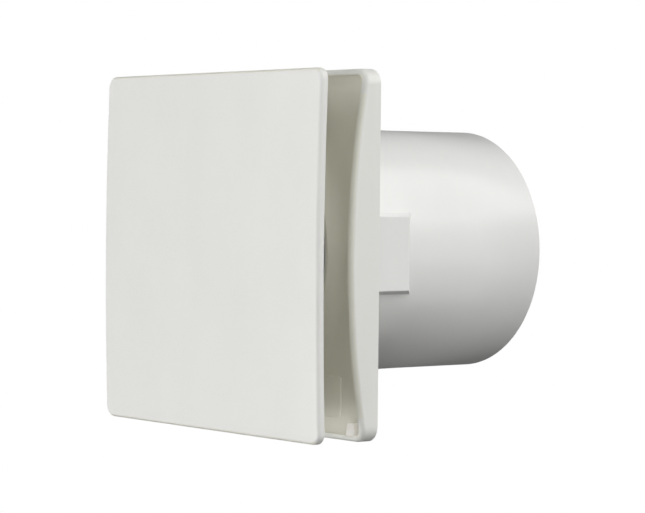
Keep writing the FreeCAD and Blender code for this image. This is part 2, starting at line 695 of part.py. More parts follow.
def terminal_block():
    body = block(BLOCK_LOW_X, BLOCK_HIGH_X, BLOCK_FRONT, FLOOR_FRONT, BLOCK_LOW_Z, BLOCK_HIGH_Z)
    mid_z = (BLOCK_LOW_Z + BLOCK_HIGH_Z) / 2
    cuts = []
    for x in pole_places():
        cuts.append(rod(1.75, BLOCK_FRONT - 1, -8.4, x, mid_z))
        cuts.append(upright(1.35, BLOCK_LOW_Z - 1, BLOCK_HIGH_Z + 1, x, -7.6))
    cuts.append(Part.makeCylinder(LEAD_R + 0.15, 5, V(BLOCK_HIGH_X - 4, LEAD_FRONT, lead_hole()[1]), V(1, 0, 0)))
    for i in range(1, POLES):
        groove_x = pole_places()[i] - POLE_PITCH / 2
        groove = block(groove_x - 0.35, groove_x + 0.35, BLOCK_FRONT - 1, -10.5, -70, -50)
        cuts.append(groove)
    return body.cut(Part.makeCompound(cuts))


def terminal_screws():
    mid_z = (BLOCK_LOW_Z + BLOCK_HIGH_Z) / 2
    screws = []
    for x in pole_places():
        screw = rod(1.6, -12.4, -9.0, x, mid_z)
        screws.append(screw.cut(block(x - 2, x + 2, -13, -11.6, mid_z - 0.3, mid_z + 0.3)))
    return Part.makeCompound(screws)


def cable_clamp():
    """Saddle bar that holds the supply cable down between its two screws."""
    (x, low), (_, high) = CLAMP_SCREWS
    bar = rounded_block(x - 2.4, x + 2.4, -9.6, -8.0, low - 1.7, high + 1.7, 1.6)
    arch = Part.makeCylinder(2.6, 4.8, V(x - 2.4, -7.6, (low + high) / 2), V(1, 0, 0))
    channel = Part.makeCylinder(1.9, 8, V(x - 4, -7.6, (low + high) / 2), V(1, 0, 0))
    hump = arch.common(block(x - 3, x + 3, -12, -8.0, low, high))
    saddle = fused([bar, hump]).cut(channel)
    holes = [rod(1.25, -12, -6, hx, hz) for hx, hz in CLAMP_SCREWS]
    return saddle.cut(Part.makeCompound(holes))


def cable_clamp_screws():
    screws = [pan_screw(1.0, 4.0, 1.5, 1.2, x, z, -9.6, 1) for x, z in CLAMP_SCREWS]
    return Part.makeCompound(screws)


def cable_grommet():
    """Rubber grommet in the cable entry, with a lip on each side of the floor."""
    x, z = GROMMET
    neck = rod(GROMMET_NECK_R, FLOOR_FRONT, FLOOR_BACK, x, z)
    front = rod(GROMMET_NECK_R + 0.6, FLOOR_FRONT - 1.3, FLOOR_FRONT, x, z)
    back = rod(GROMMET_NECK_R + 0.9, FLOOR_BACK, FLOOR_BACK + 1.1, x, z)
    return fused([neck, front, back]).cut(rod(2.6, -9, 1, x, z))


def lead_hole():
    """Where the motor's lead comes up through the floor, as (x, z)."""
    reach = math.radians(LEAD_TURN)
    x = LEAD_WAY_R * math.cos(reach) - LEAD_BEND * math.sin(reach)
    z = -LEAD_WAY_R * math.sin(reach) - LEAD_BEND * math.cos(reach)
    return x, z


def rounded_line(points, bend):
    """Edges along the points, with each corner rounded to the radius."""
    edges = []
    start = points[0]
    for i in range(1, len(points) - 1):
        here = points[i]
        back = (points[i - 1] - here).normalize()
        ahead = (points[i + 1] - here).normalize()
        half = back.getAngle(ahead) / 2
        reach = bend / math.tan(half)
        middle = here + (back + ahead).normalize() * (bend / math.sin(half) - bend)
        if (here + back * reach - start).Length > 1e-6:
            edges.append(Part.LineSegment(start, here + back * reach).toShape())
        edges.append(Part.Arc(here + back * reach, middle, here + ahead * reach).toShape())
        start = here + ahead * reach
    edges.append(Part.LineSegment(start, points[-1]).toShape())
    return edges


def motor_lead():
    """Round lead from the motor, along the channel in the pad, round the flange and up to the terminals."""
    turn_x = math.sqrt((LEAD_WAY_R - LEAD_BEND) ** 2 - LEAD_BEND ** 2)
    first = rounded_line([
        V(LEAD_START_X, LEAD_Y, 0),
        V(LEAD_CHANNEL_X, LEAD_Y, 0),
        V(LEAD_CHANNEL_X, LEAD_BACK, 0),
        V(turn_x, LEAD_BACK, 0),
    ], LEAD_BEND)
    centre = V(turn_x, LEAD_BACK, -LEAD_BEND)
    outward = V(turn_x, 0, -LEAD_BEND).normalize()
    between = (outward + ALONG_Z).normalize()
    entry = centre + outward * LEAD_BEND
    turn = Part.Arc(V(turn_x, LEAD_BACK, 0), centre + between * LEAD_BEND, entry).toShape()
    reach = math.radians(LEAD_TURN)
    exit_at = V(LEAD_WAY_R * math.cos(reach), LEAD_BACK, -LEAD_WAY_R * math.sin(reach))
    half = reach / 2
    mid = V(LEAD_WAY_R * math.cos(half), LEAD_BACK, -LEAD_WAY_R * math.sin(half))
    round_flange = Part.Arc(entry, mid, exit_at).toShape()
    x, z = lead_hole()
    last = rounded_line([
        exit_at,
        V(x, LEAD_BACK, z),
        V(x, LEAD_FRONT, z),
        V(BLOCK_HIGH_X - 3, LEAD_FRONT, z),
    ], LEAD_BEND)
    path = Part.Wire(first + [turn, round_flange] + last)
    section = Part.Wire(Part.makeCircle(LEAD_R, V(LEAD_START_X, LEAD_Y, 0), V(1, 0, 0)))
    return path.makePipeShell([section], True, False)


def pilot_cover():
    """Plate clipped over the pocket for the pilot lamp's wires."""
    low_x, high_x, low_z, high_z = PILOT_PLATE
    plate = rounded_block(low_x, high_x, PILOT_PLATE_FRONT, FLOOR_FRONT, low_z, high_z, 1.5)
    front = [e for e in plate.Edges if e.BoundBox.YMax < PILOT_PLATE_FRONT + 0.1]
    plate = plate.makeFillet(0.3, front)
    rim = block(low_x + 2.4, high_x - 2.4, FLOOR_FRONT - 0.5, FLOOR_BACK, low_z + 2.6, high_z - 2.6)
    well = block(low_x + 3.4, high_x - 3.4, FLOOR_FRONT - 0.5, 0, low_z + 3.6, high_z - 3.6)
    return fused([plate, rim]).cut(well)


def square_at(x, half, y0, y1, z):
    """Closed rectangle at the height z, for a loft."""
    corners = [(x - half, y0), (x + half, y0), (x + half, y1), (x - half, y1), (x - half, y0)]
    return Part.makePolygon([V(a, b, z) for a, b in corners])


def pilot_lens():
    """Small tapered lens that stands on the frame's bottom wall, over the lamp."""
    base = -FACE / 2 + FRAME_WALL
    top = base + 4.7
    foot = square_at(PILOT_X, 2.35, -7.7, FLOOR_FRONT, base)
    crown = square_at(PILOT_X, 1.9, -7.4, FLOOR_FRONT, top)
    lens = Part.makeLoft([foot, crown], True, True)
    crest = [e for e in lens.Edges if e.BoundBox.ZMin > top - 0.1 and e.BoundBox.YMin < FLOOR_FRONT - 0.5]
    return lens.makeFillet(0.4, crest).cut(rod(PILOT_R + 0.1, -6.7, -4, PILOT_X, PILOT_Z))


def pilot_lamp():
    """Lamp that passes through the floor into its lens."""
    body = rod(PILOT_R, -5.6, -1.2, PILOT_X, PILOT_Z)
    dome = Part.makeSphere(PILOT_R, V(PILOT_X, -5.6, PILOT_Z))
    foot = rod(PILOT_R + 0.6, FLOOR_BACK, -1.2, PILOT_X, PILOT_Z)
    return fused([body, dome, foot])


def write(name, shape):
    if not shape.isValid():
        print("not valid:", name)
    if not shape.Solids:
        print("no solid:", name)
    if min([s.Volume for s in shape.Solids]) <= 0:
        print("negative volume:", name)
    shape.exportStep(os.path.join("parts", name + ".step"))
    print(name, len(shape.Solids), round(sum(s.Volume for s in shape.Solids) / 1000, 2), "cm3")


def main():
    os.makedirs("parts", exist_ok=True)
    pieces = {
        "front_panel": front_panel,
        "front_frame": front_frame,
        "duct_casing": duct_casing,
        "casing_screws": casing_screws,
        "impeller": impeller,
        "motor_shaft": motor_shaft,
        "motor_front_cap": motor_front_cap,
        "motor_rear_cap": motor_rear_cap,
        "motor_can": motor_can,
        "front_bearing": lambda: ball_bearing(20.2, 24.2),
        "rear_bearing": lambda: ball_bearing(48.2, 52.2),
        "lamination_stack": lamination_stack,
        "windings": windings,
        "rotor": rotor,
        "motor_carrier": motor_carrier,
        "motor_screws": motor_screws,
        "shutter_seat": shutter_seat,
        "shutter_spindle": shutter_spindle,
        "right_flap": lambda: shutter_flap(1),
        "left_flap": lambda: shutter_flap(-1),
        "spring_coil": spring_coil,
        "right_spring_leg": lambda: spring_leg(1),
        "left_spring_leg": lambda: spring_leg(-1),
        "terminal_cover": terminal_cover,
        "terminal_cover_screw": terminal_cover_screw,
        "terminal_block": terminal_block,
        "terminal_screws": terminal_screws,
        "cable_clamp": cable_clamp,
        "cable_clamp_screws": cable_clamp_screws,
        "cable_grommet": cable_grommet,
        "motor_lead": motor_lead,
        "pilot_cover": pilot_cover,
        "pilot_lens": pilot_lens,
        "pilot_lamp": pilot_lamp,
    }
    for name, make in pieces.items():
        write(name, make())


main()
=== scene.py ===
import bmesh
import bpy
import math
from mathutils import Matrix, Vector


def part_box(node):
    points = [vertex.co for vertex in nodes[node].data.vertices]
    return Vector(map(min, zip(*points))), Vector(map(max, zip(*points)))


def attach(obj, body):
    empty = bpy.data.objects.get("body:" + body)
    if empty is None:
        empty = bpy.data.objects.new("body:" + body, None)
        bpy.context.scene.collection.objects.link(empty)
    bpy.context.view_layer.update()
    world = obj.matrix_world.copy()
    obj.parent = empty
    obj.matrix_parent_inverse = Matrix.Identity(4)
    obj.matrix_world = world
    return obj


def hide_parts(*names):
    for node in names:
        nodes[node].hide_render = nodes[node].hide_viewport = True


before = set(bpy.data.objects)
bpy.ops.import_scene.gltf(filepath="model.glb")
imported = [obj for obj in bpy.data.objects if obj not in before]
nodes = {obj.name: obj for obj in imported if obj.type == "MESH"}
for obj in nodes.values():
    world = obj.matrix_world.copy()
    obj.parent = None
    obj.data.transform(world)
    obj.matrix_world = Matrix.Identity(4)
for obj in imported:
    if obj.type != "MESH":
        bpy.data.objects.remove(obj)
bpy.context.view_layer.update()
scene = bpy.context.scene


# ---------------------------------------------------------------- camera, light and floor

def place_camera():
    """Stands to the right of the fan, a little above its middle, and looks along the front panel's edge."""
    yaw, pitch, roll = 0.9061, 0.03004, 0.0098
    ahead = Vector((-math.sin(yaw) * math.cos(pitch), math.cos(yaw) * math.cos(pitch), -math.sin(pitch)))
    level = Vector((math.cos(yaw), math.sin(yaw), 0))
    above = level.cross(ahead)
    right = math.cos(roll) * level + math.sin(roll) * above
    up = math.cos(roll) * above - math.sin(roll) * level
    data = bpy.data.cameras.new("camera")
    data.sensor_width = 36
    data.lens = 139.64
    data.clip_end = 50
    camera = bpy.data.objects.new("camera", data)
    turn = Matrix((right, up, -ahead)).transposed().to_4x4()
    camera.matrix_world = Matrix.Translation((0.800437, -0.599214, 0.02799)) @ turn
    scene.collection.objects.link(camera)
    scene.camera = camera


def softbox(name, azimuth, elevation, watts):
    """Square softbox that faces the fan.

    The azimuth is in degrees, from straight in front towards the fan's right.
    """
    distance, aim = 1.5, Vector((0, 0.02, 0))
    turn, rise = math.radians(azimuth), math.radians(elevation)
    away = Vector((math.cos(rise) * math.sin(turn), -math.cos(rise) * math.cos(turn), math.sin(rise)))
    data = bpy.data.lights.new(name, "AREA")
    data.shape = "SQUARE"
    data.size = 0.9
    data.energy = watts
    light = bpy.data.objects.new(name, data)
    facing = (aim - distance * away).to_track_quat("-Z", "Y").to_matrix().to_4x4()
    light.matrix_world = Matrix.Translation(distance * away) @ facing
    light.visible_camera = False
    scene.collection.objects.link(light)


def light_the_studio():
    softbox("front_high", -25, 20, 6.8)
    softbox("front_low", -20, -20, 9.6)
    softbox("low_right", 20, -30, 4.8)
    softbox("left_high", -50, 35, 0.9)
    softbox("side_level", 60, 10, 3.7)
    softbox("side_high", 110, 35, 8.2)
    softbox("overhead", 85, 80, 5.9)
    softbox("rear_level", 125, 10, 2.9)
    softbox("rear_low", 130, -20, 2.5)
    softbox("rear_high", 150, 35, 3.3)
    softbox("behind", 190, 5, 6)
    surround_the_studio()


def surround_the_studio():
    """White to the camera. To the fan, a dim glow from the upper half only."""
    world = bpy.data.worlds.new("studio")
    scene.world = world
    world.use_nodes = True
    tree = world.node_tree
    tree.nodes.clear()
    out = tree.nodes.new("ShaderNodeOutputWorld")
    seen = tree.nodes.new("ShaderNodeBackground")
    seen.inputs["Color"].default_value = (1, 1, 1, 1)
    seen.inputs["Strength"].default_value = 1.0
    glow = tree.nodes.new("ShaderNodeBackground")
    where = tree.nodes.new("ShaderNodeTexCoord")
    split = tree.nodes.new("ShaderNodeSeparateXYZ")
    height = tree.nodes.new("ShaderNodeMapRange")
    height.inputs["From Min"].default_value = -0.1
    height.inputs["From Max"].default_value = 0.1
    height.inputs["To Max"].default_value = 0.012
    tree.links.new(where.outputs["Generated"], split.inputs[0])
    tree.links.new(split.outputs["Z"], height.inputs["Value"])
    tree.links.new(height.outputs["Result"], glow.inputs["Strength"])
    walls = tree.nodes.new("ShaderNodeBackground")
    walls.inputs["Strength"].default_value = 0.12
    path = tree.nodes.new("ShaderNodeLightPath")
    reflected = tree.nodes.new("ShaderNodeMixShader")
    tree.links.new(path.outputs["Is Glossy Ray"], reflected.inputs["Fac"])
    tree.links.new(glow.outputs[0], reflected.inputs[1])
    tree.links.new(walls.outputs[0], reflected.inputs[2])
    mix = tree.nodes.new("ShaderNodeMixShader")
    tree.links.new(path.outputs["Is Camera Ray"], mix.inputs["Fac"])
    tree.links.new(reflected.outputs[0], mix.inputs[1])
    tree.links.new(seen.outputs[0], mix.inputs[2])
    tree.links.new(mix.outputs[0], out.inputs["Surface"])


def lay_floor():
    """Wide pale floor well below the fan, which hangs on its wall fixings."""
    floor_half, floor_level = 8, -2
    mesh = bpy.data.meshes.new("floor")
    bm = bmesh.new()
    bmesh.ops.create_grid(bm, x_segments=1, y_segments=1, size=floor_half)
    bmesh.ops.translate(bm, verts=bm.verts, vec=(0, 0, floor_level))
    bm.to_mesh(mesh)
    bm.free()
    floor = bpy.data.objects.new("floor", mesh)
    scene.collection.objects.link(floor)
    floor.visible_diffuse = False
    floor.visible_glossy = False
    floor.visible_shadow = False
    paint = bpy.data.materials.new("floor_paint")
    paint.use_nodes = True
    tree = paint.node_tree
    tree.nodes.clear()
    out = tree.nodes.new("ShaderNodeOutputMaterial")
    glow = tree.nodes.new("ShaderNodeEmission")
    glow.inputs["Color"].default_value = (1, 1, 1, 1)
    glow.inputs["Strength"].default_value = 1.0
    tree.links.new(glow.outputs[0], out.inputs["Surface"])
    mesh.materials.append(paint)


# ---------------------------------------------------------------- materials

def new_material(name):
    material = bpy.data.materials.new(name)
    material.use_nodes = True
    tree = material.node_tree
    return material, tree, tree.nodes["Principled BSDF"]


def pattern(tree, scale, detail=4.0, roughness=0.5, stretch=(1, 1, 1)):
    """Noise on the object's own coordinates. scale is in waves per metre."""
    where = tree.nodes.new("ShaderNodeTexCoord")
    mapping = tree.nodes.new("ShaderNodeMapping")
    mapping.inputs["Scale"].default_value = stretch
    noise = tree.nodes.new("ShaderNodeTexNoise")
    noise.inputs["Scale"].default_value = scale
    noise.inputs["Detail"].default_value = detail
    noise.inputs["Roughness"].default_value = roughness
    tree.links.new(where.outputs["Object"], mapping.inputs["Vector"])
    tree.links.new(mapping.outputs["Vector"], noise.inputs["Vector"])
    return noise.outputs["Fac"]


def ranged(tree, value, low, high):
    to = tree.nodes.new("ShaderNodeMapRange")
    to.inputs["From Min"].default_value = 0.3
    to.inputs["From Max"].default_value = 0.7
    to.inputs["To Min"].default_value = low
    to.inputs["To Max"].default_value = high
    tree.links.new(value, to.inputs["Value"])
    return to.outputs["Result"]


def two_tone(tree, value, dark, light):
    mix = tree.nodes.new("ShaderNodeMix")
    mix.data_type = "RGBA"
    mix.inputs["A"].default_value = (*dark, 1)
    mix.inputs["B"].default_value = (*light, 1)
    tree.links.new(ranged(tree, value, 0, 1), mix.inputs["Factor"])
    return mix.outputs["Result"]


def bumps(tree, shader, layers):
    """layers are (height source, strength, distance in metres), the coarsest first."""
    normal = None
    for height, strength, distance in layers:
        bump = tree.nodes.new("ShaderNodeBump")
        bump.inputs["Strength"].default_value = strength
        bump.inputs["Distance"].default_value = distance
        tree.links.new(height, bump.inputs["Height"])
        if normal is not None:
            tree.links.new(normal, bump.inputs["Normal"])
        normal = bump.outputs["Normal"]
    tree.links.new(normal, shader.inputs["Normal"])


def within(tree, limits):
    """1 inside a box and 0 outside it. The limits are (low, high) in metres, along X, Y and Z."""
    where = tree.nodes.new("ShaderNodeTexCoord")
    split = tree.nodes.new("ShaderNodeSeparateXYZ")
    tree.links.new(where.outputs["Object"], split.inputs[0])
    total = None
    for axis, (low, high) in zip("XYZ", limits):
        for edge, operation in ((low, "GREATER_THAN"), (high, "LESS_THAN")):
            test = tree.nodes.new("ShaderNodeMath")
            test.operation = operation
            test.inputs[1].default_value = edge
            tree.links.new(split.outputs[axis], test.inputs[0])
            if total is None:
                total = test.outputs[0]
                continue
            both = tree.nodes.new("ShaderNodeMath")
            both.operation = "MULTIPLY"
            tree.links.new(total, both.inputs[0])
            tree.links.new(test.outputs[0], both.inputs[1])
            total = both.outputs[0]
    return total


def moulded_plastic(name, colour, rough, grain=0.06, mottled=0.012, inside=None):
    """Injection-moulded plastic: faint flow mottling, a slight waviness and a fine grain from the tool.

    inside is (colour, boxes): within the boxes the base colour turns to this warmer tone, which is painted
    shade for the recesses between the panel and the frame.
    """
    material, tree, shader = new_material(name)
    flow = pattern(tree, 38, 3, 0.5, (1, 1, 0.6))
    fine = pattern(tree, 2600, 3, 0.6)
    wave = pattern(tree, 22, 1, 0.4)
    dark = tuple(c * (1 - mottled) for c in colour)
    light = tuple(min(1, c * (1 + mottled)) for c in colour)
    tone = two_tone(tree, flow, dark, light)
    if inside is not None:
        inner, boxes = inside
        reach = within(tree, boxes[0])
        for limits in boxes[1:]:
            either = tree.nodes.new("ShaderNodeMath")
            either.operation = "MAXIMUM"
            tree.links.new(reach, either.inputs[0])
            tree.links.new(within(tree, limits), either.inputs[1])
            reach = either.outputs[0]
        # Painted shade: inside the boxes the tone mixes to the warmer colour that stands in for the shade in
        # the recesses.
        mix = tree.nodes.new("ShaderNodeMix")
        mix.data_type = "RGBA"
        painted_shade_tone = two_tone(tree, flow, tuple(c * (1 - mottled) for c in inner), inner)
        tree.links.new(reach, mix.inputs["Factor"])
        tree.links.new(tone, mix.inputs["A"])
        tree.links.new(painted_shade_tone, mix.inputs["B"])
        tone = mix.outputs["Result"]
    tree.links.new(tone, shader.inputs["Base Color"])
    tree.links.new(ranged(tree, fine, rough * 0.88, rough * 1.12), shader.inputs["Roughness"])
    shader.inputs["IOR"].default_value = 1.52
    bumps(tree, shader, [(wave, 0.05, 0.0012), (fine, grain, 0.00005)])
    return material


def bands(tree, pitch, axis):
    """Evenly spaced bands across an axis, such as the edges of stacked sheets. pitch is in metres."""
    where = tree.nodes.new("ShaderNodeTexCoord")
    wave = tree.nodes.new("ShaderNodeTexWave")
    wave.wave_type = "BANDS"
    wave.bands_direction = axis
    wave.wave_profile = "SAW"
    wave.inputs["Scale"].default_value = math.pi / (10 * pitch)
    wave.inputs["Distortion"].default_value = 0.0
    tree.links.new(where.outputs["Object"], wave.inputs["Vector"])
    return wave.outputs["Fac"]


def metal(name, colour, rough, along=(1, 1, 1), lines=2400, marks=0.08, sheets=None):
    """Bare or plated metal with fine tool marks stretched along one direction.

    sheets is the thickness of one sheet, where the piece is a stack of them along Y.
    """
    material, tree, shader = new_material(name)
    tarnish = pattern(tree, 160, 5, 0.6)
    tool = pattern(tree, lines, 2, 0.5, along)
    dark = tuple(c * 0.9 for c in colour)
    tree.links.new(two_tone(tree, tarnish, dark, colour), shader.inputs["Base Color"])
    tree.links.new(ranged(tree, tool, rough * 0.8, rough * 1.3), shader.inputs["Roughness"])
    shader.inputs["Metallic"].default_value = 1.0
    layers = [(tool, marks, 0.00003)]
    if sheets is not None:
        layers = [(bands(tree, sheets, "Y"), 0.6, 0.0001)] + layers
    bumps(tree, shader, layers)
    return material


def rubbery(name, colour, rough):
    material, tree, shader = new_material(name)
    bloom = pattern(tree, 240, 4, 0.6)
    fine = pattern(tree, 3200, 2, 0.5)
    dark = tuple(c * 0.85 for c in colour)
    tree.links.new(two_tone(tree, bloom, dark, colour), shader.inputs["Base Color"])
    tree.links.new(ranged(tree, bloom, rough * 0.9, rough * 1.08), shader.inputs["Roughness"])
    bumps(tree, shader, [(fine, 0.12, 0.00004)])
    return material


def lens_material():
    material, tree, shader = new_material("lamp_lens")
    inside = pattern(tree, 700, 3, 0.5)
    tint = two_tone(tree, inside, (0.93, 0.90, 0.85), (0.98, 0.95, 0.90))
    tree.links.new(tint, shader.inputs["Base Color"])
    tree.links.new(tint, shader.inputs["Subsurface Radius"])
    shader.inputs["Roughness"].default_value = 0.22
    shader.inputs["Subsurface Weight"].default_value = 0.7
    shader.inputs["Subsurface Scale"].default_value = 0.004
    # The faint emission is painted light: the lamp is not lit, and the glow lifts the lens's shaded side.
    shader.inputs["Emission Color"].default_value = (1.0, 0.96, 0.90, 1)
    shader.inputs["Emission Strength"].default_value = 0.12
    bumps(tree, shader, [(inside, 0.05, 0.0001)])
    return material


def glass_material():
    material, tree, shader = new_material("lamp_glass")
    ripple = pattern(tree, 500, 2, 0.5)
    tint = two_tone(tree, ripple, (0.92, 0.60, 0.42), (0.96, 0.70, 0.52))
    tree.links.new(tint, shader.inputs["Base Color"])
    shader.inputs["Roughness"].default_value = 0.05
    shader.inputs["IOR"].default_value = 1.5
    shader.inputs["Alpha"].default_value = 0.55
    bumps(tree, shader, [(ripple, 0.04, 0.0002)])
    return material


# ---------------------------------------------------------------- new pieces

def finished(name, bm, material, body, sharp=40):
    """Makes the mesh a piece: faces outwards, smooth except at edges sharper than `sharp` degrees."""
    bmesh.ops.recalc_face_normals(bm, faces=bm.faces)
    mesh = bpy.data.meshes.new(name)
    bm.to_mesh(mesh)
    bm.free()
    mesh.shade_smooth()
    mesh.set_sharp_from_angle(angle=math.radians(sharp))
    mesh.materials.append(material)
    piece = bpy.data.objects.new(name, mesh)
    scene.collection.objects.link(piece)
    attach(piece, body)
    return piece


def middle_of(node):
    low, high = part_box(node)
    return (Vector(low) + Vector(high)) / 2, Vector(high) - Vector(low)


def ring_of_wire(bm, centre, axis, start, wire_r, sides=8, turns=1.0, climb=0.0, steps=48):
    """A round wire wound about an axis through `centre`, from `start`.

    `climb` is its advance along the axis in one turn.
    """
    outward = (start - centre) - (start - centre).project(axis)
    tangent = axis.cross(outward).normalized()
    place = Matrix.Translation(start) @ tangent.to_track_quat("Z", "Y").to_matrix().to_4x4()
    loop = bmesh.ops.create_circle(bm, segments=sides, radius=wire_r, matrix=place)["verts"]
    edges = list({edge for vert in loop for edge in vert.link_edges})
    count = round(steps * turns)
    bmesh.ops.spin(
        bm, geom=loop + edges, cent=centre, axis=axis, dvec=axis * (climb / steps), angle=math.tau * turns,
        steps=count, use_merge=climb == 0, use_duplicate=False,
    )


def close_ends(bm):
    bmesh.ops.holes_fill(bm, edges=[edge for edge in bm.edges if edge.is_boundary], sides=0)


def spun(bm, profile, centre, axis, outward, steps=64):
    """Turns a closed outline of (radius, distance along the axis) pairs about an axis through `centre`."""
    verts = [bm.verts.new(centre + outward * r + axis * along) for r, along in profile]
    edges = [bm.edges.new((verts[i - 1], verts[i])) for i in range(len(verts))]
    bmesh.ops.spin(
        bm, geom=verts + edges, cent=centre, axis=axis, dvec=(0, 0, 0), angle=math.tau, steps=steps,
        use_merge=True, use_duplicate=False,
    )


def wire_sleeves(material):
    """Brass sleeves of the terminal block, one for each pole, that the wires go into."""
    low, high = (Vector(corner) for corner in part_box("terminal_block"))
    middle_x, pitch, level = (low.x + high.x) / 2, 0.0056, -0.0076
    outer, outer_edge, inner_edge, inner = 0.00135, 0.00132, 0.00112, 0.00108
    inset, flare = 0.0001, 0.0004
    reach = high.z - low.z
    profile = [
        (outer, flare), (outer_edge, inset), (inner_edge, inset), (inner, flare), (inner, reach - flare),
        (inner_edge, reach - inset), (outer_edge, reach - inset), (outer, reach - flare),
    ]
    bm = bmesh.new()
    for pole in (-1, 0, 1):
        centre = Vector((middle_x + pole * pitch, level, low.z))
        spun(bm, profile, centre, Vector((0, 0, 1)), Vector((1, 0, 0)), 32)
    finished("terminal_sleeves", bm, material, "casing")


def spigot_skin(material):
    """The spigot's smooth outside and its end, over the casing. The outside has one slight taper."""
    inner, start, end = 0.04768, -0.0005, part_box("duct_casing")[1][1] + 0.0004
    root, outer = 0.04952, 0.04922
    taper_start, taper_end = 0.0369, 0.062
    lip_depth, wall = 0.02, 0.0008
    edge = 0.00025
    bm = bmesh.new()
    spun(bm, [
        (root, start), (root, taper_start), (outer, taper_end), (outer, end - edge),
        (outer - 0.3 * edge, end - 0.3 * edge), (outer - edge, end),
        (inner + edge, end), (inner + 0.3 * edge, end - 0.3 * edge), (inner, end - edge),
        (inner, end - lip_depth), (inner + wall, end - lip_depth), (inner + wall, start),
    ], Vector(), Vector((0, 1, 0)), Vector((1, 0, 0)), 256)
    finished("spigot_skin", bm, material, "casing", 50)


def pilot_plate(material):
    """Plate beside the pilot lamp. It overlaps the floor all round, so that no gap shows."""
    low, high = (Vector(corner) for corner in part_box("pilot_cover"))
    lap, corner, front_round = Vector((0.00025, 0, 0.00025)), 0.0016, 0.0004
    bm = bmesh.new()
    boxed(bm, low - lap, high + lap)
    rounded(bm, [e for e in bm.edges if abs(e.verts[0].co.y - e.verts[1].co.y) > 0.0001], corner, 8)
    bm.normal_update()
    flat = [f for f in bm.faces if f.normal.y < -0.9]
    rounded(bm, {e for f in flat for e in f.edges}, front_round, 5)
    piece = finished("pilot_plate", bm, material, "casing", 50)
    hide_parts("pilot_cover")


def closing_spring(material):
    """Torsion spring wound close round the spindle."""
    middle, size = middle_of("spring_coil")
    wire_r = 0.0003
    bm = bmesh.new()
    foot = middle.z - size.z / 2 + wire_r
    height = size.z - 2 * wire_r
    turns = int(height / (2.06 * wire_r))
    start = Vector((middle.x + size.x / 2 - wire_r, middle.y, foot))
    axle, up = Vector((middle.x, middle.y, foot)), Vector((0, 0, 1))
    ring_of_wire(bm, axle, up, start, wire_r, 8, turns, height / turns, 28)
    close_ends(bm)
    piece = finished("closing_spring_wire", bm, material, "casing")
    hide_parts("spring_coil")


def ball_bearing(node, steel, cage_material):
    """Deep-groove bearing: two grooved races, seven balls and the pressed cage between them."""
    middle, size = middle_of(node)
    along, out = Vector((0, 1, 0)), Vector((1, 0, 0))
    outer, inner, half = size.x / 2, 0.00203, size.y / 2
    track = (outer + inner) / 2
    ball_r = 0.00105
    edge = 0.00022
    bm = bmesh.new()
    for rim, land, way in ((outer, track + 0.00075, 1), (inner, track - 0.00075, -1)):
        deep, wide = ball_r * 0.42, ball_r * 0.9
        groove = [(land + way * deep * math.cos(a), wide * math.sin(a)) for a in (-1.2, -0.6, 0, 0.6, 1.2)]
        profile = [(rim - way * edge, -half), (rim, -half + edge)]
        profile += [(rim, half - edge), (rim - way * edge, half)]
        profile += [(land, half)] + groove[::-1] + [(land, -half)]
        spun(bm, profile, middle, along, out)
    for i in range(7):
        turn = Matrix.Rotation(math.tau * i / 7, 4, along)
        place = Matrix.Translation(middle) @ turn @ Matrix.Translation(out * track)
        bmesh.ops.create_uvsphere(bm, u_segments=20, v_segments=12, radius=ball_r, matrix=place)
    piece = finished(node + "_races", bm, steel, "casing")
    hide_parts(node)
    plate_inner, plate_outer = track - 0.0007, track + 0.0007
    plate_near, plate_far = 0.00112, 0.00128
    plate = [(plate_inner, plate_near), (plate_outer, plate_near)]
    plate += [(plate_outer, plate_far), (plate_inner, plate_far)]
    bm = bmesh.new()
    for side in (-1, 1):
        spun(bm, [(r, side * y) for r, y in plate], middle, along, out)
    finished(node + "_cage", bm, cage_material, "casing")


def motor_windings(material):
    """End turns as rings of enamelled wire, joined by straight turns through the stack's four slots."""
    middle, size = middle_of("windings")
    along = Vector((0, 1, 0))
    outer, inner, wire_r = 0.0201, 0.0139, 0.00042
    pitch = 2.05 * wire_r
    layers = int((outer - inner) / pitch)
    front = middle.y - size.y / 2
    back = middle.y + size.y / 2
    bm = bmesh.new()
    for row in range(3):
        for y in (front + wire_r + row * pitch, back - wire_r - row * pitch):
            for layer in range(layers):
                radius = inner + wire_r + layer * pitch + (row % 2) * wire_r
                start = Vector((min(radius, outer - wire_r), y, 0))
                ring_of_wire(bm, Vector((0, y, 0)), along, start, wire_r, 6, 1, 0, 56)
    length = size.y - 4 * pitch
    for quarter in range(4):
        turn = Matrix.Rotation(math.radians(45 + 90 * quarter), 4, along)
        for layer in range(layers):
            for across in range(-4, 5):
                away = Vector((inner + wire_r + layer * pitch, middle.y, across * pitch))
                upright = Matrix.Rotation(math.radians(90), 4, "X")
                place = turn @ Matrix.Translation(away) @ upright
                bmesh.ops.create_cone(
                    bm, cap_ends=True, segments=6, radius1=wire_r, radius2=wire_r, depth=length, matrix=place,
                )
    piece = finished("winding_turns", bm, material, "casing")
    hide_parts("windings")


def thread(name, places, core_r, crest, pitch, low_y, high_y, material):
    """Thread ridges on the shanks of screws that lie along Y."""
    along = Vector((0, 1, 0))
    turns = int((high_y - low_y) / pitch)
    steps = 20
    bm = bmesh.new()
    for x, z in places:
        centre = Vector((x, low_y, z))
        outline = [(core_r - 0.00005, 0), (core_r + crest, pitch * 0.3), (core_r - 0.00005, pitch * 0.6)]
        verts = [bm.verts.new(centre + Vector((r, y, 0))) for r, y in outline]
        edges = [bm.edges.new((verts[i - 1], verts[i])) for i in range(3)]
        bmesh.ops.spin(
            bm, geom=verts + edges, cent=centre, axis=along, dvec=along * (pitch / steps),
            angle=math.tau * turns, steps=steps * turns, use_merge=False, use_duplicate=False,
        )
    close_ends(bm)
    finished(name, bm, material, "casing")


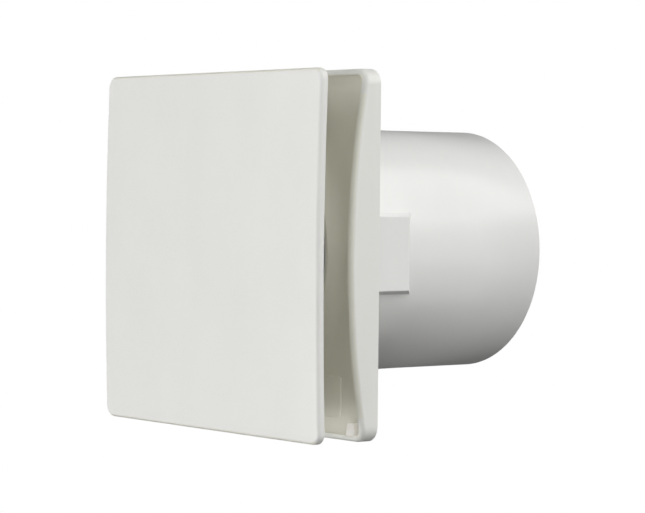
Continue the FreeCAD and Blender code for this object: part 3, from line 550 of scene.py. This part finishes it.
def casing_threads(material):
    """Threads of the four screws between the casing and the frame."""
    low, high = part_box("casing_screws")
    head_r, clear = 0.0029, 0.0002
    countersink = 0.002
    place = high[0] - head_r
    corners = [(sx * place, sz * place) for sx in (-1, 1) for sz in (-1, 1)]
    thread(
        "casing_screw_threads", corners, 0.0012, 0.00028, 0.0011, low[1] + clear, high[1] - countersink,
        material,
    )


def motor_threads(material):
    """Threads of the three screws between the carrier and the motor."""
    low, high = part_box("motor_screws")
    head_r, clear, engaged = 0.0028, 0.0002, 0.0032
    pitch_r = high[2] - head_r
    angles = [math.pi / 2 + i * math.tau / 3 for i in range(3)]
    thread(
        "motor_screw_threads", [(pitch_r * math.cos(a), pitch_r * math.sin(a)) for a in angles],
        0.00135, 0.00018, 0.0007, low[1] + clear, low[1] + engaged, material,
    )


def cover_thread(material):
    """Thread of the terminal cover's screw."""
    middle, size = middle_of("terminal_cover_screw")
    tip = 0.0004
    thread(
        "cover_screw_thread", [(middle.x, middle.z)], 0.0012, 0.00026, 0.001,
        middle.y, middle.y + size.y / 2 - tip, material,
    )


def clamp_threads(material):
    """Threads of the cable clamp's two screws."""
    low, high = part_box("cable_clamp_screws")
    head_r, engaged, tip = 0.0015, 0.0026, 0.0003
    x = (low[0] + high[0]) / 2
    thread(
        "clamp_screw_threads", [(x, low[2] + head_r), (x, high[2] - head_r)],
        0.001, 0.0002, 0.0008, high[1] - engaged, high[1] - tip, material,
    )


def boxed(bm, low, high):
    """Adds a box between two corners and returns its vertices."""
    low, high = Vector(low), Vector(high)
    place = Matrix.Translation((low + high) / 2) @ Matrix.Diagonal((*(high - low), 1))
    return bmesh.ops.create_cube(bm, size=1, matrix=place)["verts"]


def rounded(bm, edges, radius, segments):
    bmesh.ops.bevel(
        bm, geom=list(edges), offset=radius, offset_type="OFFSET", segments=segments, profile=0.5,
        affect="EDGES", material=-1, clamp_overlap=False,
    )


def post_along_y(bm, x, z, profile, sides=40):
    """Closed turned shape about an axis along Y. Its (radius, y) profile starts and ends on the axis."""
    centre = Vector((x, 0, z))
    verts = [bm.verts.new(centre + Vector((r, y, 0))) for r, y in profile]
    edges = [bm.edges.new((verts[i], verts[i + 1])) for i in range(len(verts) - 1)]
    bmesh.ops.spin(
        bm, geom=verts + edges, cent=centre, axis=(0, 1, 0), dvec=(0, 0, 0), angle=math.tau, steps=sides,
        use_merge=True, use_duplicate=False,
    )


def panel_post(bm, x, z, foot):
    """Post of the panel: a round foot on the skin, a crossed shank and the tip that enters its socket."""
    tip_r, tip_start, tip_end, tip_edge = 0.00245, -0.0096, -0.0064, 0.0008
    foot_r, foot_height, foot_edge = 0.0042, 0.0032, 0.0004
    arm = 0.0006
    shank_end = tip_start + 0.0003
    post_along_y(bm, x, z, [
        (0, foot), (foot_r, foot), (foot_r, foot + foot_height - foot_edge),
        (foot_r - foot_edge, foot + foot_height), (0, foot + foot_height),
    ])
    boxed(bm, (x - tip_r, foot, z - arm), (x + tip_r, shank_end, z + arm))
    boxed(bm, (x - arm, foot, z - tip_r), (x + arm, shank_end, z + tip_r))
    post_along_y(bm, x, z, [
        (0, tip_start), (tip_r, tip_start), (tip_r, tip_end - tip_edge),
        (tip_r - tip_edge, tip_end), (0, tip_end),
    ])


def cover_panel(material):
    """Bowed cover panel: a skin turned back round its edge, ribs behind it and four push-in posts."""
    overhang, set_back = 0.001, 0.0011
    half, half_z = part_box("front_frame")[1][0] + overhang, 0.0702
    front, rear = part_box("front_panel")[0][1] + set_back, -0.0271
    skin, depth, bow = 0.0019, rear - front, 0.00135
    corner, front_round, back_round = 0.0046, 0.0014, 0.0006

    def bend(verts):
        for vert in verts:
            vert.co.y += bow * (vert.co.z / half_z) ** 2

    bm = bmesh.new()
    boxed(bm, (-half, front, -half_z), (half, rear, half_z))
    rounded(bm, [e for e in bm.edges if abs(e.verts[0].co.y - e.verts[1].co.y) > depth / 2], corner, 12)
    bmesh.ops.delete(bm, geom=[f for f in bm.faces if f.normal.y > 0.9], context="FACES_ONLY")
    bmesh.ops.recalc_face_normals(bm, faces=bm.faces)
    flat = [f for f in bm.faces if f.normal.y < -0.9]
    rounded(bm, {e for f in flat for e in f.edges}, front_round, 6)
    for i in range(1, 24):
        level = half_z * (i / 12 - 1)
        cut = bm.verts[:] + bm.edges[:] + bm.faces[:]
        bmesh.ops.bisect_plane(bm, geom=cut, dist=1e-6, plane_co=(0, 0, level), plane_no=(0, 0, 1))
    outer = bm.faces[:]
    bmesh.ops.solidify(bm, geom=outer, thickness=skin)
    rim = [e for e in bm.edges if min(v.co.y for v in e.verts) > rear - 1e-5 and len(e.link_faces) == 2]
    brim = [e for e in rim if abs(e.link_faces[0].normal.y - e.link_faces[1].normal.y) > 0.5]
    rounded(bm, brim, back_round, 4)
    inside, rib_end = front + skin, rear - 0.0004
    ring_r, rib = 0.034, 0.0013
    ring_foot, rib_foot = inside - 0.0008, inside - 0.0006
    ring = [(ring_r, ring_foot), (ring_r + rib, ring_foot), (ring_r + rib, rib_end), (ring_r, rib_end)]
    spun(bm, ring, Vector(), Vector((0, 1, 0)), Vector((1, 0, 0)), 96)
    for sign in (-1, 1):
        start, end = sorted((sign * (ring_r + rib / 2), sign * (half - skin / 2)))
        boxed(bm, (start, rib_foot, -rib / 2), (end, rib_end, rib / 2))
        start, end = sorted((sign * (ring_r + rib / 2), sign * (half_z - skin / 2)))
        wall = boxed(bm, (-rib / 2, rib_foot, start), (rib / 2, rib_end, end))
        edges = {e for v in wall for e in v.link_edges}
        long_edges = [e for e in edges if abs(e.verts[0].co.z - e.verts[1].co.z) > 0.01]
        bmesh.ops.subdivide_edges(bm, edges=long_edges, cuts=10, use_grid_fill=True)
    bend(bm.verts)
    post_x, post_z = 0.039, 0.054
    for x in (-post_x, post_x):
        for z in (-post_z, post_z):
            panel_post(bm, x, z, inside + bow * (z / half_z) ** 2 - 0.0004)
    piece = finished("cover_panel", bm, material, "panel", 35)
    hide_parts("front_panel")


def dress(materials):
    for node, material in materials.items():
        mesh = nodes[node].data
        mesh.materials.clear()
        mesh.materials.append(material)


place_camera()
light_the_studio()
lay_floor()

scene.view_settings.view_transform = "Standard"

# The boxes below mark where the warmer inside colour, painted shade, goes: behind the panel, in the frame's
# tray and on the frame's side rims.
frame_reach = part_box("front_frame")[1][0]
panel_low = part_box("front_panel")[0][1]
back_half = frame_reach - 0.001
panel_skin = 0.0025
behind_panel = ((-back_half, back_half), (panel_low + panel_skin, 0.0), (-frame_reach, frame_reach))
tray_half = frame_reach - 0.0022
tray_front, tray_back = -0.0152, -0.0030
in_tray = ((-tray_half, tray_half), (tray_front, tray_back), (-tray_half, tray_half))
rim_half, rim_top, rim_front = frame_reach - 0.0001, frame_reach - 0.0095, -0.0215
side_rims = ((-rim_half, rim_half), (rim_front, tray_back), (-rim_top, rim_top))
# The inside colours given here are painted shade, a warmer tone for the shaded faces within the boxes.
white_abs = moulded_plastic(
    "white_abs", (0.90, 0.90, 0.87), 0.30, inside=((0.90, 0.89, 0.80), [behind_panel]),
)
white_frame = moulded_plastic(
    "white_frame_abs", (0.89, 0.89, 0.845), 0.34, inside=((0.91, 0.90, 0.80), [in_tray, side_rims]),
)
white_duct = moulded_plastic("white_duct_abs", (0.89, 0.89, 0.87), 0.22)
satin_white = moulded_plastic("satin_white", (0.74, 0.75, 0.73), 0.42, grain=0.1)
flap_white = moulded_plastic("flap_white", (0.76, 0.77, 0.74), 0.36, grain=0.08)
nylon = moulded_plastic("natural_nylon", (0.74, 0.72, 0.64), 0.45, grain=0.1)
zinc = metal("zinc_plate", (0.80, 0.81, 0.83), 0.34)
ground = metal("ground_steel", (0.60, 0.61, 0.62), 0.18)
spring_wire = metal("spring_wire", (0.52, 0.52, 0.53), 0.25)
stack_steel = metal("stack_steel", (0.32, 0.33, 0.36), 0.45, marks=0.2, sheets=0.0005)
cast_cage = metal("cast_cage", (0.52, 0.52, 0.53), 0.42)
enamelled = metal("enamelled_copper", (0.55, 0.22, 0.07), 0.28, (1, 1, 1), 1500, 0.3)
brass = metal("plated_brass", (0.72, 0.55, 0.27), 0.28)
black_rubber = rubbery("black_rubber", (0.03, 0.03, 0.032), 0.62)
sheath = rubbery("white_sheath", (0.72, 0.72, 0.69), 0.48)

dress({
    "front_frame": white_frame, "duct_casing": white_duct,
    "casing_screws": zinc, "impeller": satin_white, "motor_shaft": ground,
    "motor_front_cap": zinc, "motor_rear_cap": zinc, "motor_can": zinc,
    "front_bearing": ground, "rear_bearing": ground, "lamination_stack": stack_steel,
    "windings": enamelled, "rotor": cast_cage, "motor_carrier": satin_white,
    "motor_screws": zinc, "shutter_seat": satin_white, "shutter_spindle": ground,
    "right_flap": flap_white, "left_flap": flap_white, "spring_coil": spring_wire,
    "right_spring_leg": spring_wire, "left_spring_leg": spring_wire,
    "terminal_cover": white_frame, "terminal_cover_screw": zinc, "terminal_block": nylon,
    "terminal_screws": brass, "cable_clamp": nylon, "cable_clamp_screws": zinc,
    "cable_grommet": black_rubber, "motor_lead": sheath, "pilot_cover": white_frame,
    "pilot_lens": lens_material(), "pilot_lamp": glass_material(),
})

cover_panel(white_abs)
spigot_skin(white_duct)
pilot_plate(white_frame)
closing_spring(spring_wire)
ball_bearing("front_bearing", ground, zinc)
ball_bearing("rear_bearing", ground, zinc)
motor_windings(enamelled)
wire_sleeves(brass)

casing_threads(zinc)
motor_threads(zinc)
cover_thread(zinc)
clamp_threads(zinc)
